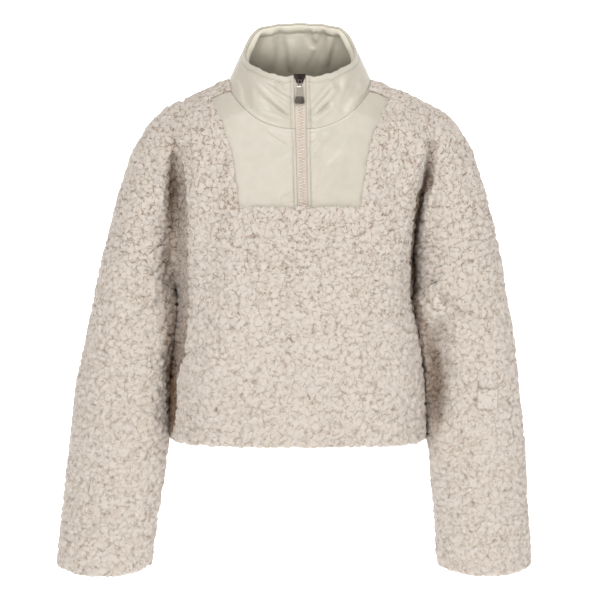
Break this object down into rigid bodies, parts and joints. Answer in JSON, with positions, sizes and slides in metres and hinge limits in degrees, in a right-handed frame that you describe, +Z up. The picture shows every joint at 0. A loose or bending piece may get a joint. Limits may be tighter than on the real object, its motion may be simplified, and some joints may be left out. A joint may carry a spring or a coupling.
{
  "type": "sherpa fleece pullover",
  "caption": "Cropped sherpa fleece pullover with a smooth nylon yoke, a stand collar, a short front zip with a swinging pull, and long wide sleeves.",
  "frame": {"origin": "between the shoulders at the base of the neck, where the garment hangs on its wearer", "axes": "+Z up the body, the front faces -Y, +X towards the wearer's left"},
  "size_m": [0.6627, 0.235, 0.7652],
  "materials": {
    "fleece": "deep curly sherpa pile, warm oatmeal",
    "nylon": "smooth woven nylon with a soft sheen, pale bone",
    "nylon_inside": "smooth woven nylon, inner side of the collar",
    "tape": "woven zip tape",
    "chain": "moulded zip teeth, closed",
    "gunmetal": "dark satin plated zinc",
    "badge": "soft tone-on-tone transfer, left bare"
  },
  "bodies": {
    "garment": {"front_panel": "fleece", "back_panel": "fleece", "sleeve_right": "fleece", "sleeve_left": "fleece", "yoke_right": "nylon", "yoke_left": "nylon", "collar": "nylon", "collar_lining": "nylon_inside", "zip_tape_right": "tape", "zip_tape_left": "tape", "zip_chain": "chain", "zip_slider": "gunmetal", "sleeve_badge": "badge"},
    "pull": {"pull_tab": "gunmetal"}
  },
  "joints": [
    {"name": "pull_swing", "type": "hinge", "parent": "garment", "child": "pull", "pos_m": [-0.0004, -0.07256, 0.00764], "axis": [-1, 0, 0], "range_deg": [0, 150]}
  ]
}
